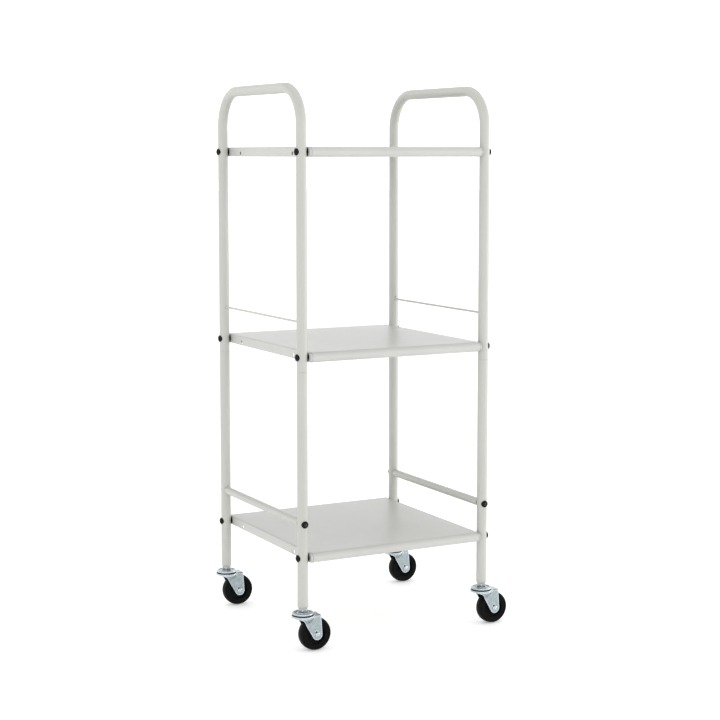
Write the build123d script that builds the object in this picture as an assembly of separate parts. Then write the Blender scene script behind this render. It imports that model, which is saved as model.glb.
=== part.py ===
from build123d import *
import os
from math import cos, hypot, radians, sin

# Rolling three-shelf trolley, in millimetres: two tube hoops on plug-in lower legs, three folded steel shelves
# bolted between them, and a swivel caster under each leg. +Z is up, +X is across the trolley and +Y is from
# front to back. The origin is on the floor, in the middle of the footprint with all casters trailing along +X.

# Tube frame
LEG_SPACING_X = 313.0
LEG_SPACING_Y = 286.0
TUBE_R = 8.0
TUBE_WALL = 1.0
LEG_BOTTOM_Z = 66.0
LEG_TIP_R = 6.9
LEG_TIP_LENGTH = 3.0
SEAM_Z = 421.0
SEAM_CHAMFER = 0.4
SPIGOT_LENGTH = 45.0
SPIGOT_GAP = 0.05
SPIGOT_NECK = 4.0
HANDLE_Z = 835.7
HOOP_BEND_R = 55.0

# Shelves
SHELF_Z = {"bottom": 142.0, "middle": 442.0, "top": 742.0}
SHELF_THICK = 15.0
SHELF_SHEET = 1.0
SHELF_END_BEND_R = 2.5
ROLL_OVERHANG = 5.0  # how far a rolled edge's axis lies outside the leg axes
RETURN_LIP = 14.0  # the roll's flat lip under the shelf
CORNER_SEAM = 3.0  # from the shelf's end to the line where the roll meets its cap
CORNER_SEAM_WIDTH = 0.6
CORNER_SEAM_DEPTH = 0.4
CORNER_RELIEF_R = 1.1
ACCESSORY_HOLE_R = 3.0
ACCESSORY_SPACING = 189.0
ACCESSORY_DROP = 2.0  # how far the hole pair lies below the shelf's mid-height

# Shelf bolts and the saddle washers on both sides of a tube
BOLT_R = 3.0
BOLT_HOLE_R = 3.2
SADDLE_R = 5.6
SADDLE_CROWN = 0.8  # thickness over the tube's outermost line
HEAD_R = 5.3
HEAD_HEIGHT = 2.3
SOCKET_FLATS = 4.0
SOCKET_DEPTH = 1.4
NUT_FLATS = 10.0
NUT_HEIGHT = 5.0
BOLT_TAIL = 1.2
THREAD_GAP = 0.02
FACE_GAP = 0.02

# Rails between the legs of each side
CROSSBAR_Z = 193.5
CROSSBAR_R = 6.0
CROSSBAR_INSERT_LENGTH = 16.0
CROSSBAR_INSERT_RECESS = 1.0
CROSSBAR_BOLT_REACH = 25.0
WIRE_Z = 493.5
WIRE_R = 1.5
WIRE_HOLE_R = 1.6
WIRE_INSERTION = 5.0
VENT_HOLE_R = 1.2
VENT_RISE = 4.2

# Caster
WHEEL_R = 25.0
TRAIL = 19.0
TREAD_HALF_WIDTH = 8.4
TREAD_EDGE_R = 24.2
TREAD_FLAT_HALF_WIDTH = 6.0
SIDEWALL_R = 22.0
HUB_R = 16.0
HUB_HALF_WIDTH = 8.8
HUB_RIM_HALF_WIDTH = 7.8
HUB_WEB_HALF_WIDTH = 5.0
HUB_BOSS_R = 7.5
HUB_RIM_INNER_R = 14.0
SLEEVE_R = 4.5
SLEEVE_RUNNING_GAP = 0.06
AXLE_R = 3.0
AXLE_HEAD_R = 3.9
AXLE_HEAD_HEIGHT = 1.8
AXLE_TAIL_HEIGHT = 1.4
AXLE_SLOT_R = 1.8  # the axle hole's slotted end, which shows beside the rivet's head
AXLE_SLOT_X = -1.9
AXLE_SLOT_Z = 3.9
FORK_SHEET = 1.8
FORK_HALF_WIDTH = 11.0
FORK_BEND_R = 2.4
FORK_FOOT_R = 8.0
FORK_TAIL_X = 25.0
FORK_LEADING_SLOPE = 60.0  # degrees above horizontal
FORK_LEADING_BLEND_R = 17.0
FLARE_BOTTOM_Z = 42.0  # where the cheeks start to spread out to the round crown
FLARE_TOP_R = 17.1
CROWN_TOP_Z = 55.4
CROWN_R = 17.5
CROWN_LIP_Z = 52.4
CROWN_LIP_WIDTH = 1.3
CROWN_EDGE_R = 1.0
BALL_R = 1.4
BALL_COUNT = 14
RACE_RADIUS = 11.0
RACE_R = 1.55
CUP_R = 16.2
CUP_BOTTOM_Z = 57.0
CUP_RIM_Z = 59.6
CUP_GROOVE_Z = 58.6
CUP_BOSS_Z = 60.4
CUP_EDGE = 0.8
CUP_RIM_INNER_R = 13.6
CUP_GROOVE_OUTER_R = 12.2
CUP_GROOVE_INNER_R = 9.6
CUP_BOSS_R = 8.2
SEAL_INNER_R = 13.2
SEAL_OUTER_R = 16.0
SEAL_GAP = 0.1
STEM_R = 4.0
STEM_RUNNING_GAP = 0.06
STEM_HEAD_R = 7.0
STEM_HEAD_HEIGHT = 1.9
STEM_TOP_Z = 92.0
STEM_NUT_FLATS = 13.0
INSERT_BOTTOM_Z = 70.0
INSERT_GAP = 0.03

# The casters reach further along +X than along -X, so the frame stands off centre over the origin
FRAME_X = -(TRAIL + WHEEL_R - CROWN_R) / 2
SHELF_HALF_LENGTH = LEG_SPACING_X / 2 - TUBE_R - SADDLE_CROWN
ROLL_Y = LEG_SPACING_Y / 2 + ROLL_OVERHANG
SIDES = {"left": -1, "right": 1}
ENDS = {"front": -1, "rear": 1}
CORNERS = [(end, side) for side in SIDES for end in ENDS]
FROM_BOTTOM = (Align.CENTER, Align.CENTER, Align.MIN)


def bar(radius, low, high, axis="Z"):
    """A round bar centred on a row axis, from low to high along it."""
    turn = {"X": Rot(0, 90, 0), "Y": Rot(-90, 0, 0), "Z": Rot(0, 0, 0)}[axis]
    return turn * Pos(0, 0, low) * Cylinder(radius, high - low, align=FROM_BOTTOM)


def tube(radius, wall, low, high, axis="Z"):
    """A round tube centred on a row axis, from low to high along it."""
    return bar(radius, low, high, axis) - bar(radius - wall, low - 1, high + 1, axis)


def hexagon_bar(flats, low, high, axis="Z"):
    """A six-sided bar, flats across its flats, centred on a row axis."""
    turn = {"X": Rot(0, 90, 0), "Z": Rot(0, 0, 0)}[axis]
    outline = RegularPolygon(flats / 2, 6, major_radius=False, rotation=30)
    return turn * Pos(0, 0, low) * extrude(outline, high - low)


def turned(*outline):
    """A solid of revolution about Z from a closed outline of (radius, height) points."""
    face = make_face(Polyline(*[(radius, 0, height) for radius, height in outline], close=True))
    return revolve(face, Axis.Z)


def dome(base_r, height):
    """A round cap standing on z = 0."""
    rim, top, middle = (base_r, 0, 0), (0, 0, height), (0, 0, 0)
    outline = [Line(middle, rim), TangentArc(top, rim, tangent=(1, 0, 0)), Line(top, middle)]
    return revolve(make_face(outline), Axis.Z)


def leg_x(side):
    return FRAME_X + SIDES[side] * LEG_SPACING_X / 2


def leg_y(end):
    return ENDS[end] * LEG_SPACING_Y / 2


def at_leg(end, side, z=0):
    return Pos(leg_x(side), leg_y(end), z)


def facing_out(side):
    """Turns something built along +X to point away from the trolley's middle."""
    return Rot(0, 0, 0 if SIDES[side] > 0 else 180)


def write(name, solids):
    """Writes one node, which may be a group of separate solids."""
    group = solids if isinstance(solids, list) else [solids]
    export_step(Compound(children=[piece.solid() for piece in group]), f"parts/{name}.step")


# ---- Tube frame ----


def hoop(side):
    """The upper frame of one side: both upper legs and the handle, bent from one tube."""
    front, rear = leg_y("front"), leg_y("rear")
    corners = [(front, SEAM_Z), (front, HANDLE_Z), (rear, HANDLE_Z), (rear, SEAM_Z)]
    path = FilletPolyline(*[(0, y, z) for y, z in corners], radius=HOOP_BEND_R)
    start = Plane(origin=(0, front, SEAM_Z), z_dir=(0, 0, 1))
    outer = sweep(start * Circle(TUBE_R), path=path)
    bore = sweep(start * Circle(TUBE_R - TUBE_WALL), path=path)
    body = outer - bore
    mouths = body.edges().filter_by(GeomType.CIRCLE).group_by(Axis.Z)[0]
    body = chamfer(mouths.sort_by(SortBy.RADIUS)[-2:], SEAM_CHAMFER)
    for y in (front, rear):
        for name in ("middle", "top"):
            body -= Pos(0, y, SHELF_Z[name]) * bar(BOLT_HOLE_R, -TUBE_R, TUBE_R, "X")
    body -= Pos(0, 0, WIRE_Z) * bar(WIRE_HOLE_R, front, rear, "Y")
    vent_end = "front" if side == "left" else "rear"
    vent_run = sorted([leg_y(vent_end), 0])
    body -= Pos(0, 0, WIRE_Z + VENT_RISE) * bar(VENT_HOLE_R, *vent_run, "Y")
    return Pos(leg_x(side), 0, 0) * body


def lower_leg():
    """A straight leg with a crimped foot and a necked-down spigot that plugs into the hoop."""
    inner_r = TUBE_R - TUBE_WALL
    spigot_r = inner_r - SPIGOT_GAP
    spigot_top = SEAM_Z + SPIGOT_LENGTH
    tip_top = LEG_BOTTOM_Z + LEG_TIP_LENGTH
    body = turned(
        (LEG_TIP_R - TUBE_WALL, LEG_BOTTOM_Z),
        (LEG_TIP_R, LEG_BOTTOM_Z),
        (TUBE_R, tip_top),
        (TUBE_R, SEAM_Z - SEAM_CHAMFER),
        (TUBE_R - SEAM_CHAMFER, SEAM_Z),
        (spigot_r, SEAM_Z),
        (spigot_r, spigot_top - TUBE_WALL),
        (spigot_r - TUBE_WALL / 2, spigot_top),
        (spigot_r - TUBE_WALL, spigot_top),
        (spigot_r - TUBE_WALL, SEAM_Z),
        (inner_r, SEAM_Z - SPIGOT_NECK),
        (inner_r, tip_top),
    )
    for name in ("bottom", "middle"):
        body -= Pos(0, 0, SHELF_Z[name]) * bar(BOLT_HOLE_R, -TUBE_R, TUBE_R, "X")
    return body - Pos(0, 0, CROSSBAR_Z) * bar(BOLT_HOLE_R, -TUBE_R, TUBE_R, "Y")


def crossbar():
    """The square-cut round bar low down between the legs of one side."""
    reach = LEG_SPACING_Y / 2 - TUBE_R - FACE_GAP
    return Pos(0, 0, CROSSBAR_Z) * tube(CROSSBAR_R, TUBE_WALL, -reach, reach, "Y")


def wire_rail():
    """The thin guard wire above the middle shelf, let into holes in the legs."""
    reach = LEG_SPACING_Y / 2 - TUBE_R + WIRE_INSERTION
    return Pos(0, 0, WIRE_Z) * bar(WIRE_R, -reach, reach, "Y")


# ---- Shelves ----


def stadium_block(half_length, thick, edge_r):
    """A block of stadium section along X, with its end outlines rounded by edge_r."""
    section = Plane.YZ.offset(-half_length) * SlotCenterToCenter(2 * ROLL_Y, thick)
    block = extrude(section, 2 * half_length)
    faces = block.faces().sort_by(Axis.X)
    return fillet(faces[0].edges() + faces[-1].edges(), edge_r)


def shelf():
    """One folded sheet: a flat top, rolled front and rear edges and a flange at each end, open underneath."""
    outer = stadium_block(SHELF_HALF_LENGTH, SHELF_THICK, SHELF_END_BEND_R)
    inner = stadium_block(
        SHELF_HALF_LENGTH - SHELF_SHEET,
        SHELF_THICK - 2 * SHELF_SHEET,
        SHELF_END_BEND_R - SHELF_SHEET,
    )
    body = outer - inner
    mouth_x = 2 * (SHELF_HALF_LENGTH - SHELF_END_BEND_R)
    mouth_y = 2 * (ROLL_Y - RETURN_LIP)
    body -= Pos(0, 0, -SHELF_THICK / 2) * Box(mouth_x, mouth_y, SHELF_THICK / 2)
    roll_r = SHELF_THICK / 2
    for side in (-1, 1):
        cap_x = side * SHELF_HALF_LENGTH
        seam_x = side * (SHELF_HALF_LENGTH - CORNER_SEAM)
        flange = sorted([cap_x + side, cap_x - side * SHELF_END_BEND_R])
        for end in (-1, 1):
            roll_axis = Pos(0, end * ROLL_Y, 0)
            half_seam = CORNER_SEAM_WIDTH / 2
            seam = tube(roll_r + 1, 1 + CORNER_SEAM_DEPTH, -half_seam, half_seam, "X")
            half_space = Pos(0, end * SHELF_THICK, 0) * Box(SHELF_THICK, 2 * SHELF_THICK, 2 * SHELF_THICK)
            body -= roll_axis * Pos(seam_x, 0, 0) * (seam & half_space)
            body -= roll_axis * Pos(seam_x, 0, 0) * bar(CORNER_RELIEF_R, 0, SHELF_THICK)
            body -= Pos(0, end * LEG_SPACING_Y / 2, 0) * bar(BOLT_HOLE_R, *flange, "X")
            accessory = Pos(0, end * ACCESSORY_SPACING / 2, -ACCESSORY_DROP)
            body -= accessory * bar(ACCESSORY_HOLE_R, *flange, "X")
    return body


# ---- Fasteners, built along +X with the tube's axis at the origin ----


def saddle_washer():
    """A washer that is flat outside and hollowed to the tube inside."""
    flat_x = TUBE_R + SADDLE_CROWN - FACE_GAP
    body = bar(SADDLE_R, 0, flat_x, "X") - bar(TUBE_R + FACE_GAP, -TUBE_R, TUBE_R)
    return body - bar(BOLT_HOLE_R, 0, flat_x + 1, "X")


def dome_bolt(tail_x):
    """A round-headed socket bolt whose shank runs inwards to tail_x."""
    seat_x = TUBE_R + SADDLE_CROWN
    head = Pos(seat_x, 0, 0) * Rot(0, 90, 0) * dome(HEAD_R, HEAD_HEIGHT)
    socket_x = seat_x + HEAD_HEIGHT - SOCKET_DEPTH
    socket = hexagon_bar(SOCKET_FLATS, socket_x, seat_x + HEAD_HEIGHT + 1, "X")
    return head - socket + bar(BOLT_R, tail_x, seat_x, "X")


def shelf_bolt():
    return dome_bolt(-(TUBE_R + SADDLE_CROWN + SHELF_SHEET + NUT_HEIGHT + BOLT_TAIL))


def shelf_nut():
    """A hexagon nut on the inner face of a shelf's flange."""
    seat_x = -(TUBE_R + SADDLE_CROWN + SHELF_SHEET + FACE_GAP)
    body = hexagon_bar(NUT_FLATS, seat_x - NUT_HEIGHT, seat_x, "X")
    return body - bar(BOLT_R + THREAD_GAP, seat_x - NUT_HEIGHT - 1, seat_x + 1, "X")


def crossbar_insert():
    """The threaded plug inside one end of a crossbar."""
    mouth_x = -(TUBE_R + CROSSBAR_INSERT_RECESS)
    outer_r = CROSSBAR_R - TUBE_WALL - INSERT_GAP
    return tube(outer_r, outer_r - BOLT_R - THREAD_GAP, mouth_x - CROSSBAR_INSERT_LENGTH, mouth_x, "X")


# ---- Caster, built with the swivel axis on Z, the floor at z = 0 and the wheel trailing along +X ----


def leg_insert():
    """The threaded plug inside a leg's foot, which takes the caster's stem."""
    outer_r = TUBE_R - TUBE_WALL - INSERT_GAP
    return tube(outer_r, outer_r - STEM_R - THREAD_GAP, INSERT_BOTTOM_Z, STEM_TOP_Z)


def caster_stem():
    """The threaded kingpin, with the head that carries the fork."""
    crown_bottom = CROWN_TOP_Z - FORK_SHEET
    head_top = crown_bottom - SEAL_GAP
    head = bar(STEM_HEAD_R, head_top - STEM_HEAD_HEIGHT, head_top)
    return head + bar(STEM_R, head_top, STEM_TOP_Z)


def stem_nut():
    """The nut that clamps the caster's cup against the leg's foot."""
    low, high = CUP_BOSS_Z + FACE_GAP, LEG_BOTTOM_Z - FACE_GAP
    return hexagon_bar(STEM_NUT_FLATS, low, high) - bar(STEM_R + THREAD_GAP, low - 1, high + 1)


def ball_race():
    return Pos(0, 0, (CROWN_TOP_Z + CUP_BOTTOM_Z) / 2) * Torus(RACE_RADIUS, RACE_R)


def top_cup():
    """The dished upper cup of the swivel bearing, fixed to the stem."""
    body = turned(
        (STEM_R + THREAD_GAP, CUP_BOTTOM_Z),
        (CUP_R - CUP_EDGE, CUP_BOTTOM_Z),
        (CUP_R, CUP_BOTTOM_Z + CUP_EDGE),
        (CUP_R, CUP_RIM_Z - CUP_EDGE),
        (CUP_R - CUP_EDGE, CUP_RIM_Z),
        (CUP_RIM_INNER_R, CUP_RIM_Z),
        (CUP_GROOVE_OUTER_R, CUP_GROOVE_Z),
        (CUP_GROOVE_INNER_R, CUP_GROOVE_Z),
        (CUP_BOSS_R, CUP_BOSS_Z),
        (STEM_R + THREAD_GAP, CUP_BOSS_Z),
    )
    return body - ball_race()


def swivel_seal():
    """The black ring that closes the gap between the cup and the fork's crown."""
    low, high = CROWN_TOP_Z + SEAL_GAP, CUP_BOTTOM_Z - SEAL_GAP
    return bar(SEAL_OUTER_R, low, high) - bar(SEAL_INNER_R, low - 1, high + 1)


def swivel_balls():
    """The ring of bearing balls between the cup and the crown."""
    height = (CROWN_TOP_Z + CUP_BOTTOM_Z) / 2
    turns = [index * 360 / BALL_COUNT for index in range(BALL_COUNT)]
    return [Rot(0, 0, turn) * Pos(RACE_RADIUS, 0, height) * Sphere(BALL_R) for turn in turns]


def cheek_outline():
    """The side view of the fork: a raked leading edge, a round foot at the axle and a near-upright back."""
    slope = radians(FORK_LEADING_SLOPE)
    foot = (TRAIL - FORK_FOOT_R * sin(slope), WHEEL_R - FORK_FOOT_R * cos(slope))
    knee_x = foot[0] - (CROWN_LIP_Z - foot[1]) * cos(slope) / sin(slope)
    outline = Polyline(
        (-CROWN_R, CROWN_LIP_Z),
        (knee_x, CROWN_LIP_Z),
        foot,
        (TRAIL, WHEEL_R),
        (TRAIL + FORK_FOOT_R, WHEEL_R),
        (FORK_TAIL_X, CROWN_TOP_Z),
        (-CROWN_R, CROWN_TOP_Z),
        close=True,
    )
    face = make_face(outline)
    knee = face.vertices().sort_by_distance((knee_x, CROWN_LIP_Z))[0]
    return fillet(knee, FORK_LEADING_BLEND_R) + Pos(TRAIL, WHEEL_R) * Circle(FORK_FOOT_R)


def crown_flare():
    """The spread of the cheeks' upper part to the round crown, as a slice of a cone."""
    spread = FLARE_TOP_R - FORK_HALF_WIDTH
    rise = CROWN_TOP_Z - FORK_SHEET - FLARE_BOTTOM_Z
    wall = FORK_SHEET * hypot(spread, rise) / rise
    return turned(
        (FORK_HALF_WIDTH - wall, FLARE_BOTTOM_Z),
        (FORK_HALF_WIDTH, FLARE_BOTTOM_Z),
        (FLARE_TOP_R, FLARE_BOTTOM_Z + rise),
        (FLARE_TOP_R - wall, FLARE_BOTTOM_Z + rise),
    )


def fork():
    """The pressed fork: a round crown with a turned-down lip, and two cheeks that hold the axle."""
    length = 2 * (TRAIL + FORK_FOOT_R)
    channel = Box(length, 2 * FORK_HALF_WIDTH, CROWN_TOP_Z, align=FROM_BOTTOM)
    channel = fillet(channel.edges().filter_by(Axis.X).group_by(Axis.Z)[-1], FORK_BEND_R)
    inner_half = FORK_HALF_WIDTH - FORK_SHEET
    hollow = Box(length + 2, 2 * inner_half, CROWN_TOP_Z - FORK_SHEET, align=FROM_BOTTOM)
    hollow = fillet(hollow.edges().filter_by(Axis.X).group_by(Axis.Z)[-1], FORK_BEND_R - FORK_SHEET)
    sideways = Plane(origin=(0, 0, 0), x_dir=(1, 0, 0), z_dir=(0, -1, 0))
    cheeks = extrude(sideways * cheek_outline(), CROWN_R, both=True)
    cheeks = (cheeks & (channel - hollow)) + (cheeks & (crown_flare() - hollow))
    behind = Pos(length / 4, 0, 0) * Box(length / 2, 2 * CROWN_R, CROWN_TOP_Z, align=FROM_BOTTOM)
    cheeks &= behind + bar(CROWN_R, 0, CROWN_TOP_Z)

    crown = bar(CROWN_R, CROWN_LIP_Z, CROWN_TOP_Z)
    crown = fillet(crown.edges().filter_by(GeomType.CIRCLE).sort_by(Axis.Z)[-1], CROWN_EDGE_R)
    crown -= bar(CROWN_R - CROWN_LIP_WIDTH, CROWN_LIP_Z - 1, CROWN_TOP_Z - FORK_SHEET)
    lip_height = CROWN_TOP_Z - FORK_SHEET - CROWN_LIP_Z
    crown -= Pos(CROWN_R, 0, CROWN_LIP_Z) * Box(2 * CROWN_R, 2 * inner_half, 2 * lip_height)

    body = crown + cheeks
    body -= bar(STEM_R + STEM_RUNNING_GAP, 0, CROWN_TOP_Z + 1)
    body -= ball_race()
    body -= Pos(TRAIL, 0, WHEEL_R) * bar(AXLE_R + THREAD_GAP, -FORK_HALF_WIDTH, FORK_HALF_WIDTH, "Y")
    slot_end = Pos(TRAIL + AXLE_SLOT_X, 0, WHEEL_R + AXLE_SLOT_Z)
    return body - slot_end * bar(AXLE_SLOT_R, -FORK_HALF_WIDTH, FORK_HALF_WIDTH, "Y")


def at_axle(piece):
    """Moves something built about Z onto the wheel's axle, which runs along Y."""
    return Pos(TRAIL, 0, WHEEL_R) * Rot(-90, 0, 0) * piece


def axle_rivet():
    """The rivet that is the wheel's axle: a domed head in front and a flatter formed head behind."""
    outside = FORK_HALF_WIDTH + FACE_GAP
    head = Pos(0, 0, -outside) * Rot(180, 0, 0) * dome(AXLE_HEAD_R, AXLE_HEAD_HEIGHT)
    tail = bar(AXLE_HEAD_R, outside, outside + AXLE_TAIL_HEIGHT)
    tail = chamfer(tail.edges().filter_by(GeomType.CIRCLE).sort_by(Axis.Z)[-1], AXLE_TAIL_HEIGHT / 2)
    return at_axle(head + bar(AXLE_R, -outside, outside) + tail)


def axle_sleeve():
    """The spacer tube that the fork clamps and the hub turns on."""
    half_length = FORK_HALF_WIDTH - FORK_SHEET - FACE_GAP
    return at_axle(tube(SLEEVE_R, SLEEVE_R - AXLE_R - THREAD_GAP, -half_length, half_length))


def wheel_hub():
    """The hard core of the wheel: a boss on the sleeve, a thin web and a rim under the tyre."""
    bore = SLEEVE_R + SLEEVE_RUNNING_GAP
    return at_axle(
        turned(
            (bore, -HUB_HALF_WIDTH),
            (HUB_BOSS_R, -HUB_HALF_WIDTH),
            (HUB_BOSS_R, -HUB_WEB_HALF_WIDTH),
            (HUB_RIM_INNER_R, -HUB_WEB_HALF_WIDTH),
            (HUB_RIM_INNER_R, -HUB_RIM_HALF_WIDTH),
            (HUB_R, -HUB_RIM_HALF_WIDTH),
            (HUB_R, HUB_RIM_HALF_WIDTH),
            (HUB_RIM_INNER_R, HUB_RIM_HALF_WIDTH),
            (HUB_RIM_INNER_R, HUB_WEB_HALF_WIDTH),
            (HUB_BOSS_R, HUB_WEB_HALF_WIDTH),
            (HUB_BOSS_R, HUB_HALF_WIDTH),
            (bore, HUB_HALF_WIDTH),
        )
    )


def wheel_tyre():
    """The rubber tyre, with a slightly crowned tread and rounded shoulders."""
    inner = HUB_R + FACE_GAP
    sidewall = TREAD_HALF_WIDTH
    shoulder_low = (SIDEWALL_R, 0, -sidewall)
    shoulder_high = (SIDEWALL_R, 0, sidewall)
    tread_low = (TREAD_EDGE_R, 0, -TREAD_FLAT_HALF_WIDTH)
    tread_high = (TREAD_EDGE_R, 0, TREAD_FLAT_HALF_WIDTH)
    outline = [
        Line((inner, 0, -HUB_RIM_HALF_WIDTH), shoulder_low),
        TangentArc(shoulder_low, tread_low, tangent=(1, 0, 0)),
        ThreePointArc(tread_low, (WHEEL_R, 0, 0), tread_high),
        TangentArc(shoulder_high, tread_high, tangent=(1, 0, 0)),
        Line(shoulder_high, (inner, 0, HUB_RIM_HALF_WIDTH)),
        Line((inner, 0, HUB_RIM_HALF_WIDTH), (inner, 0, -HUB_RIM_HALF_WIDTH)),
    ]
    return at_axle(revolve(make_face(outline), Axis.Z))


# ---- Nodes ----

os.makedirs("parts", exist_ok=True)

one_leg = lower_leg()
one_shelf = shelf()
one_fork = fork()

for side in SIDES:
    write(f"{side}_hoop", hoop(side))
    write(f"{side}_crossbar", Pos(leg_x(side), 0, 0) * crossbar())
    write(f"{side}_wire_rail", Pos(leg_x(side), 0, 0) * wire_rail())

for name, height in SHELF_Z.items():
    write(f"{name}_shelf", Pos(FRAME_X, 0, height) * one_shelf)

caster_pieces = {
    "fork": one_fork,
    "swivel_seal": swivel_seal(),
    "swivel_balls": swivel_balls(),
    "axle_rivet": axle_rivet(),
    "axle_sleeve": axle_sleeve(),
    "wheel_hub": wheel_hub(),
    "wheel_tyre": wheel_tyre(),
}
for end, side in CORNERS:
    write(f"{end}_{side}_leg", at_leg(end, side) * one_leg)
    for name, piece in caster_pieces.items():
        solids = piece if isinstance(piece, list) else [piece]
        write(f"{end}_{side}_{name}", [at_leg(end, side) * solid for solid in solids])

fixed_caster_pieces = {
    "leg_inserts": leg_insert(),
    "caster_stems": caster_stem(),
    "caster_stem_nuts": stem_nut(),
    "caster_top_cups": top_cup(),
}
for name, piece in fixed_caster_pieces.items():
    write(name, [at_leg(end, side) * piece for end, side in CORNERS])

shelf_joints = [at_leg(end, side, z) * facing_out(side) for end, side in CORNERS for z in SHELF_Z.values()]
shelf_hardware = {
    "shelf_bolts": shelf_bolt(),
    "shelf_nuts": shelf_nut(),
    "shelf_outer_washers": saddle_washer(),
    "shelf_inner_washers": Rot(0, 0, 180) * saddle_washer(),
}
for name, piece in shelf_hardware.items():
    write(name, [place * piece for place in shelf_joints])

crossbar_joints = [at_leg(end, side, CROSSBAR_Z) * Rot(0, 0, 90 * ENDS[end]) for end, side in CORNERS]
crossbar_hardware = {
    "crossbar_bolts": dome_bolt(-CROSSBAR_BOLT_REACH),
    "crossbar_washers": saddle_washer(),
    "crossbar_inserts": crossbar_insert(),
}
for name, piece in crossbar_hardware.items():
    write(name, [place * piece for place in crossbar_joints])
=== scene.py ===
import math

import bmesh
import bpy
from mathutils import Matrix, Vector


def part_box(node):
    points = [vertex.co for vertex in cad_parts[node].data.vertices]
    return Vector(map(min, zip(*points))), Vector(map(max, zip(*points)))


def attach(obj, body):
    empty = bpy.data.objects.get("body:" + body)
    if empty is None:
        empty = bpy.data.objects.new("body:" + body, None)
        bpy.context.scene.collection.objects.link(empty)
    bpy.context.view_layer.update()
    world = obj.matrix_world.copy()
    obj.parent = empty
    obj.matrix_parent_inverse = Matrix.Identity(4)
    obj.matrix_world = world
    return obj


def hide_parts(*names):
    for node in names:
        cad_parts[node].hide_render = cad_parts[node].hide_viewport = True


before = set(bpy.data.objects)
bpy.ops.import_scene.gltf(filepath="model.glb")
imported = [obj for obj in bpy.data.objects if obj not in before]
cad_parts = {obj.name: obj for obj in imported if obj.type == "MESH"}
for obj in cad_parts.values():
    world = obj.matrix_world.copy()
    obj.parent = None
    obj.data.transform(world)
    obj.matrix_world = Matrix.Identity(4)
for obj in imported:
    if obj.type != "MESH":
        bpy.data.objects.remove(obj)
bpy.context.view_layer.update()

# Rolling three-shelf salon trolley.
# Metres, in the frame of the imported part: +Z up, +X to the right and +Y to the back.
# The casters, screws and washers are built in millimetres.

# Paint, plating and plastic colours, as linear light
FRAME_PAINT = (0.462, 0.464, 0.432)
SHELF_PAINT = (0.482, 0.484, 0.464)
ZINC = (0.37, 0.43, 0.455)
BEARING_STEEL = (0.62, 0.63, 0.64)
# The next colour is a painted highlight, laid on the zinc's edges.
ZINC_PAINTED_HIGHLIGHT = (0.76, 0.83, 0.88)
BOLT_BLACK = (0.006, 0.006, 0.0065)
# The next colour is worn steel on the screws' rims, and also a painted highlight in their sockets.
WORN_STEEL_AND_HIGHLIGHT = (0.130, 0.112, 0.096)
NYLON_BLACK = (0.005, 0.005, 0.0055)
HUB_BLACK = (0.0042, 0.0042, 0.0042)
TYRE_BLACK = (0.0042, 0.0041, 0.0041)
SEAL_BLACK = (0.008, 0.008, 0.009)
FLOOR_WHITE = (0.95, 0.95, 0.95)

# Camera
CAMERA_PLACE = (-1.2230, -2.3077, 0.7408)
CAMERA_YAW = 27.972
CAMERA_PITCH = 6.042
CAMERA_LENS = 82.63
CAMERA_SENSOR = 36.0
CAMERA_SHIFT = -0.045
CAMERA_REACH = 200.0

# Light. A world height is the upward part of a direction, from 0 at the horizon to 1 straight up.
WORLD_HORIZON = 1.65
WORLD_ZENITH = 0.88
WORLD_FADE = (0.10, 0.60)  # heights between which the horizon's light becomes the zenith's
BAND_BOOST = 0.35
BAND_DIRECTION = (0.25, -0.97, 0.0)
BAND_FADE = (0.10, 0.50)  # heights between which the extra light low in front ends
BAND_WIDTH = (-0.2, 0.7)  # how squarely a direction faces BAND_DIRECTION, from no extra light to all of it
KEY_PLACE = (3.2, -1.0, 0.55)
KEY_AIM = (0.0, 0.0, 0.45)
KEY_SIZE = 1.2
KEY_POWER = 22.0
KEY_TINT = (1.0, 0.985, 0.965)
TOP_PLACE = (0.0, 0.3, 3.2)
TOP_AIM = (0.0, 0.0, 0.4)
TOP_SIZE = 2.4
TOP_POWER = 11.0

# Floor
FLOOR_R = 30.0
FLOOR_DROP = 0.0001  # keeps it just under the tyres
FLOOR_GLOW = 0.28

METRE = 1000  # in the millimetres of the sizes below

# Casters, in millimetres from the kingpin's axis and the floor, with the wheel trailing along +X

# Axle and rivet
AXLE_X = 19.0
AXLE_Z = 25.0
RIVET_R = 3.0
RIVET_HEAD_R = 3.9
RIVET_DOME = 1.45
RIVET_PLAY = 0.02  # between the cheeks and the rivet's head and tail

# Fork
FORK_HALF_WIDTH = 11.0
FORK_SHEET = 1.8
FORK_CUT_EDGE = 0.7
FORK_FOOT_R = 8.0
FORK_BEND_R = 2.4
FORK_TAIL_X = 25.0
FORK_LEADING_SLOPE = 60.0
KNEE_R = 17.0
KNEE_STEPS = 7
CHEEK_FRONT_Z = 54.2  # the cheeks end inside the round crown
CHEEK_BACK_Z = 53.0  # and behind it at the bend into the roof
CHEEK_STEP_X = 9.0
ROOF_START_X = 13.5
ROOF_STEPS = 5
ROOF_SINK = 0.03  # keeps the roof's skin just under the crown's top face
SKIRT_R = 17.1
FLARE_START = 41.0
FLARE_END = 53.4
FLARE_POWER = 0.8
FLARE_SOFTNESS = 0.8
FLARE_MARGIN = 2.0  # how far beyond its own width the flare still blends into the cheek

# Open end of the slotted axle hole, measured from the axle
SLOT_R = 1.8
SLOT_X = -1.9
SLOT_Z = 3.9

# Crown
CROWN_R = 17.5
CROWN_BORE_R = 4.1
CROWN_TOP = 55.4
CROWN_UNDERSIDE = 53.6
CROWN_LIP = 52.4
CROWN_ROUND = 1.0
LIP_ROUND = 0.6
LIP_SHEET = 1.3
LIP_ROOT_Z = 53.1
LIP_HIDDEN_Z = 53.55  # the height to which the lip shrinks above the wheel
LIP_FADE = (24, 36)  # degrees from straight back between which the lip grows to its full depth
GROOVE_RING_R = 11.0
GROOVE_Z = 56.2
GROOVE_R = 1.55
GROOVE_HALF_ANGLE = 59

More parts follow.
